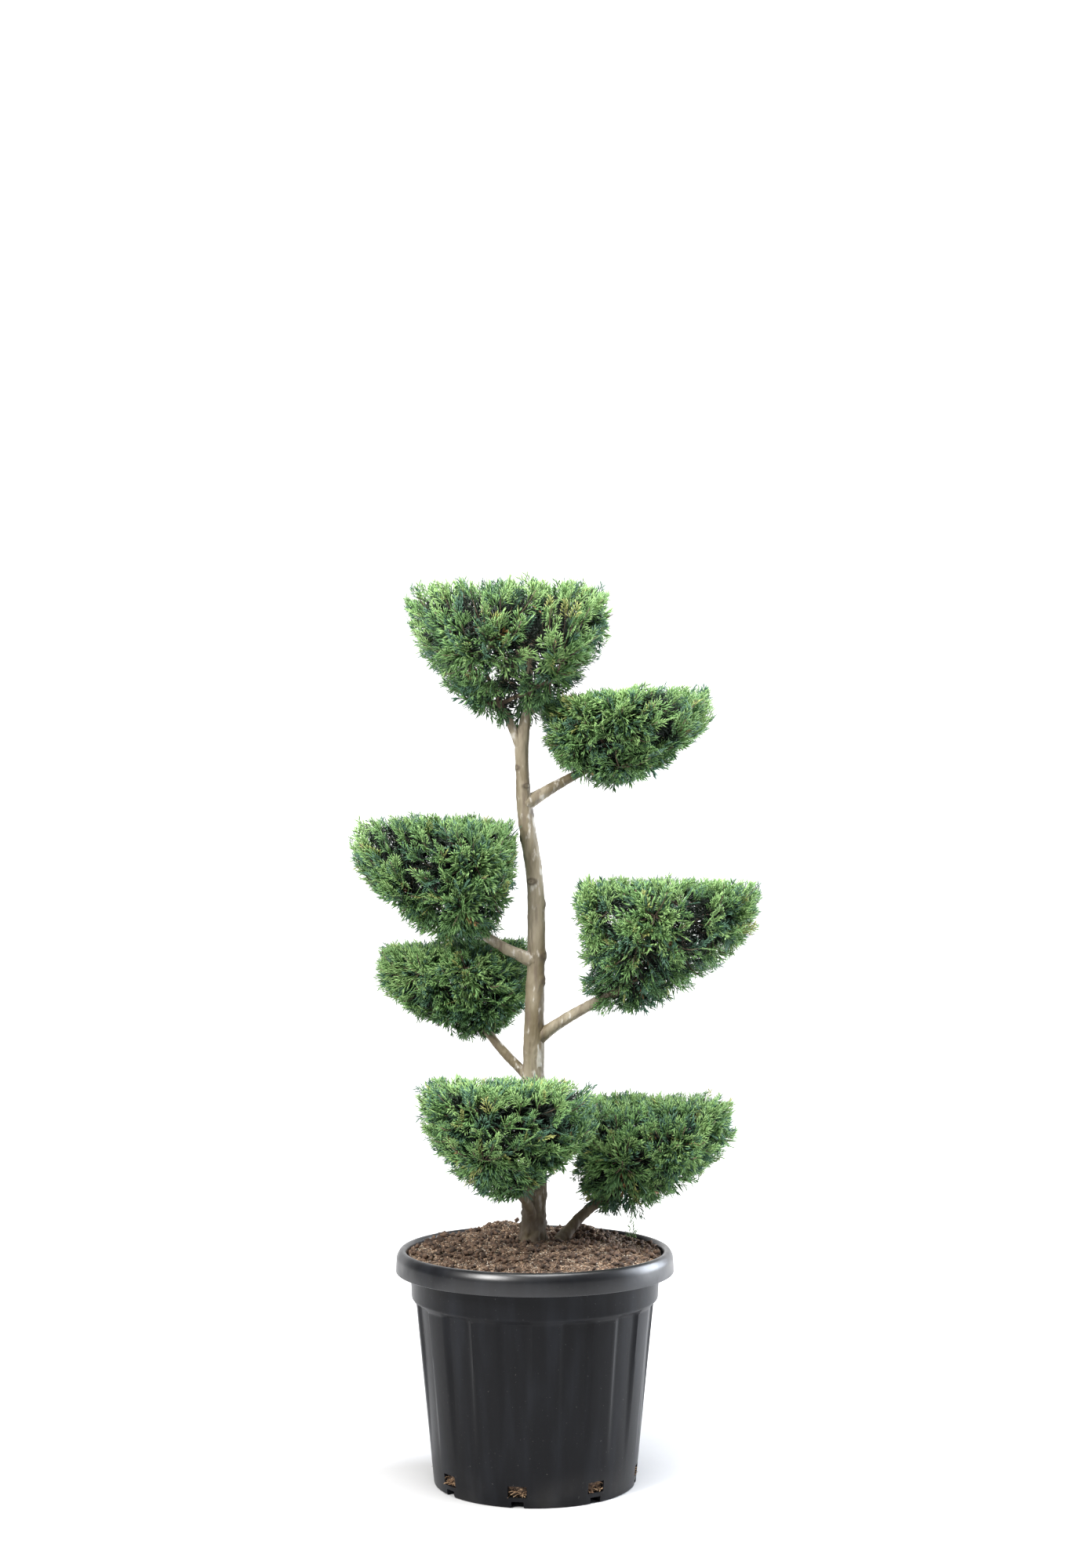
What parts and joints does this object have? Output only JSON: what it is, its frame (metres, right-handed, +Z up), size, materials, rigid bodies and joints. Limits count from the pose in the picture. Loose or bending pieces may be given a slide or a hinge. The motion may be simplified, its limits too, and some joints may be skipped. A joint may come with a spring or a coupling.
{
  "type": "potted leyland cypress",
  "caption": "Cloud-pruned leyland cypress: flat-topped clipped pads of foliage on boughs round one slightly bent trunk, in a round fluted black nursery pot filled with soil.",
  "frame": {"origin": "middle of the pot's flat underside", "axes": "+Z up along the pot's axis; -Y is the front view; +X is to the right of that view"},
  "size_m": [0.5622, 0.401, 1.2613],
  "materials": {
    "black_plastic": "satin black moulded plastic",
    "potting_soil": "moist bark compost",
    "bark": "grey-brown bark, smooth above and rough at the foot",
    "foliage": "matt green scale leaves"
  },
  "bodies": {
    "root": {"pot": "black_plastic", "potting_soil": "potting_soil", "trunk": "bark", "bough_fork": "bark", "bough_upper_right": "bark", "bough_upper_left": "bark", "bough_middle_right": "bark", "bough_lower_left": "bark", "bough_front": "bark", "bough_low_right": "bark", "pad_crown": "foliage", "pad_upper_right": "foliage", "pad_upper_left": "foliage", "pad_middle_right": "foliage", "pad_lower_left": "foliage", "pad_front": "foliage", "pad_low_right": "foliage"}
  },
  "joints": []
}
